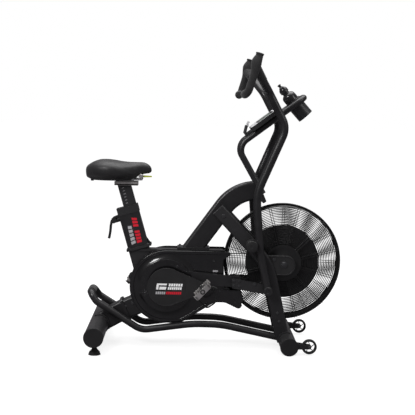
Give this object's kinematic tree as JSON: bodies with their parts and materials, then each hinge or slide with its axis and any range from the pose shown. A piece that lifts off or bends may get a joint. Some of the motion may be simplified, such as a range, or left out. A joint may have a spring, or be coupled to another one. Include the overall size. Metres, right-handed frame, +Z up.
{
  "type": "air bike",
  "caption": "Fan-braked exercise bike with swinging arms, adjustable saddle, wire fan cage, console mast and bottle holder.",
  "frame": {"origin": "on the floor, under the middle of the machine's overall length and width", "axes": "+X forward from the saddle to the fan, +Y to the rider's left, +Z up"},
  "size_m": [1.1996, 0.6802, 1.3489],
  "materials": {
    "frame_paint": "satin",
    "guard_gloss": "gloss",
    "cover_matte": "matte",
    "cage_black": "satin",
    "bright_steel": "brushed",
    "crank_black": "satin",
    "pedal_alloy": "satin",
    "grip_foam": "matte",
    "foot_rubber": "matte",
    "belt_rubber": "matte",
    "saddle_cover": "satin",
    "lever_yellow": "gloss",
    "lever_black": "satin",
    "wheel_tyre": "matte",
    "console_case": "matte",
    "console_window": "gloss",
    "console_key": "matte",
    "bottle_plastic": "gloss"
  },
  "bodies": {
    "frame": {"axle_bracket_left": "frame_paint", "axle_bracket_right": "frame_paint", "belt": "belt_rubber", "bottle_cup": "frame_paint", "cage_grille_left": "cage_black", "cage_grille_right": "cage_black", "cage_rim": "cage_black", "console_body": "console_case", "console_screen": "console_window", "crank_drum_left": "guard_gloss", "crank_drum_right": "guard_gloss", "fan_axle": "bright_steel", "front_cap_left": "cover_matte", "front_cap_right": "cover_matte", "front_stabiliser": "frame_paint", "keel": "frame_paint", "leg_left": "frame_paint", "leg_right": "frame_paint", "lift_grip": "grip_foam", "main_arch": "frame_paint", "mast_hoop": "frame_paint", "pivot_axle_left": "frame_paint", "pivot_axle_right": "frame_paint", "rail_hoop": "frame_paint", "rear_cap_left": "cover_matte", "rear_cap_right": "cover_matte", "rear_stabiliser": "frame_paint", "seat_tube": "frame_paint", "shroud_left": "guard_gloss", "shroud_right": "guard_gloss", "strut": "frame_paint", "wheel_bracket_left": "frame_paint", "wheel_bracket_right": "frame_paint"},
    "crank": {"crank_axle": "bright_steel", "drive_pulley": "bright_steel", "crank_arm_right": "crank_black", "crank_arm_left": "crank_black", "crank_plate_right": "cover_matte", "crank_plate_left": "cover_matte"},
    "pedal_right": {"pedal_right": "pedal_alloy"},
    "pedal_left": {"pedal_left": "pedal_alloy"},
    "fan": {"fan_rotor": "cage_black"},
    "arm_right": {"arm_tube_right": "frame_paint", "arm_grip_right": "grip_foam"},
    "arm_left": {"arm_tube_left": "frame_paint", "arm_grip_left": "grip_foam"},
    "link_right": {"link_right": "frame_paint"},
    "link_left": {"link_left": "frame_paint"},
    "seat_post": {"seat_post": "frame_paint"},
    "saddle": {"saddle_carriage": "bright_steel", "saddle": "saddle_cover"},
    "saddle_lever": {"saddle_lever": "lever_yellow"},
    "post_lever": {"post_lever": "lever_black"},
    "wheel_right": {"wheel_right": "wheel_tyre"},
    "wheel_left": {"wheel_left": "wheel_tyre"},
    "foot_right": {"foot_right": "foot_rubber"},
    "foot_left": {"foot_left": "foot_rubber"},
    "bottle": {"bottle": "bottle_plastic"},
    "button_1": {"console_button_1": "console_key"},
    "button_2": {"console_button_2": "console_key"}
  },
  "joints": [
    {"name": "crank_spin", "type": "hinge", "parent": "frame", "child": "crank", "pos_m": [-0.215, 0, 0.288], "axis": [0, 1, 0], "continuous": true},
    {"name": "pedal_right_spin", "type": "hinge", "parent": "crank", "child": "pedal_right", "pos_m": [-0.05, -0.18, 0.288], "axis": [0, 1, 0], "continuous": true},
    {"name": "pedal_left_spin", "type": "hinge", "parent": "crank", "child": "pedal_left", "pos_m": [-0.38, 0.18, 0.288], "axis": [0, 1, 0], "continuous": true},
    {"name": "fan_spin", "type": "hinge", "parent": "frame", "child": "fan", "pos_m": [0.324, 0, 0.398], "axis": [0, 1, 0], "continuous": true},
    {"name": "arm_right_swing", "type": "hinge", "parent": "frame", "child": "arm_right", "pos_m": [0.169, -0.146, 0.49], "axis": [0, 1, 0], "range_deg": [-12, 12]},
    {"name": "arm_left_swing", "type": "hinge", "parent": "frame", "child": "arm_left", "pos_m": [0.169, 0.146, 0.49], "axis": [0, 1, 0], "range_deg": [-12, 12]},
    {"name": "link_right_turn", "type": "hinge", "parent": "arm_right", "child": "link_right", "pos_m": [0.249, -0.119, 0.282], "axis": [0, 1, 0], "range_deg": [-9.94, 9.94]},
    {"name": "link_left_turn", "type": "hinge", "parent": "arm_left", "child": "link_left", "pos_m": [0.249, 0.119, 0.282], "axis": [0, 1, 0], "range_deg": [-9.94, 9.94]},
    {"name": "post_slide", "type": "slide", "parent": "frame", "child": "seat_post", "axis": [-0.279, 0, 0.9603], "range_m": [-0.085, 0.11]},
    {"name": "saddle_slide", "type": "slide", "parent": "seat_post", "child": "saddle", "axis": [1, 0, 0], "range_m": [-0.025, 0.025]},
    {"name": "saddle_lever_turn", "type": "hinge", "parent": "saddle", "child": "saddle_lever", "pos_m": [-0.343, 0, 0.787], "axis": [0, 1, 0], "range_deg": [0, 20], "stiffness_Nm_per_rad": 0.2, "springref_deg": -8.59},
    {"name": "post_lever_turn", "type": "hinge", "parent": "frame", "child": "post_lever", "pos_m": [-0.46834, 0, 0.5759], "axis": [0, 1, 0], "range_deg": [0, 90]},
    {"name": "wheel_right_spin", "type": "hinge", "parent": "frame", "child": "wheel_right", "pos_m": [0.44, -0.203, 0.0395], "axis": [0, 1, 0], "continuous": true},
    {"name": "wheel_left_spin", "type": "hinge", "parent": "frame", "child": "wheel_left", "pos_m": [0.44, 0.203, 0.0395], "axis": [0, 1, 0], "continuous": true},
    {"name": "foot_right_screw", "type": "hinge", "parent": "frame", "child": "foot_right", "pos_m": [-0.53, -0.245, 0], "axis": [0, 0, 1], "continuous": true},
    {"name": "foot_left_screw", "type": "hinge", "parent": "frame", "child": "foot_left", "pos_m": [-0.53, 0.245, 0], "axis": [0, 0, 1], "continuous": true},
    {"name": "bottle_lift", "type": "slide", "parent": "frame", "child": "bottle", "axis": [-0.6769, 0, 0.7361], "range_m": [0, 0.12]},
    {"name": "button_1_press", "type": "slide", "parent": "frame", "child": "button_1", "axis": [0.6046, 0, -0.7965], "range_m": [0, 0.0015], "stiffness_N_per_m": 500, "springref_m": -0.001},
    {"name": "button_2_press", "type": "slide", "parent": "frame", "child": "button_2", "axis": [0.6046, 0, -0.7965], "range_m": [0, 0.0015], "stiffness_N_per_m": 500, "springref_m": -0.001}
  ],
  "couplings": [
    {"joint": "fan_spin", "follows": "crank_spin", "ratio": 4.4643},
    {"joint": "arm_left_swing", "follows": "arm_right_swing", "ratio": -1},
    {"joint": "link_right_turn", "follows": "arm_right_swing", "ratio": -0.828},
    {"joint": "link_left_turn", "follows": "arm_right_swing", "ratio": 0.828}
  ]
}
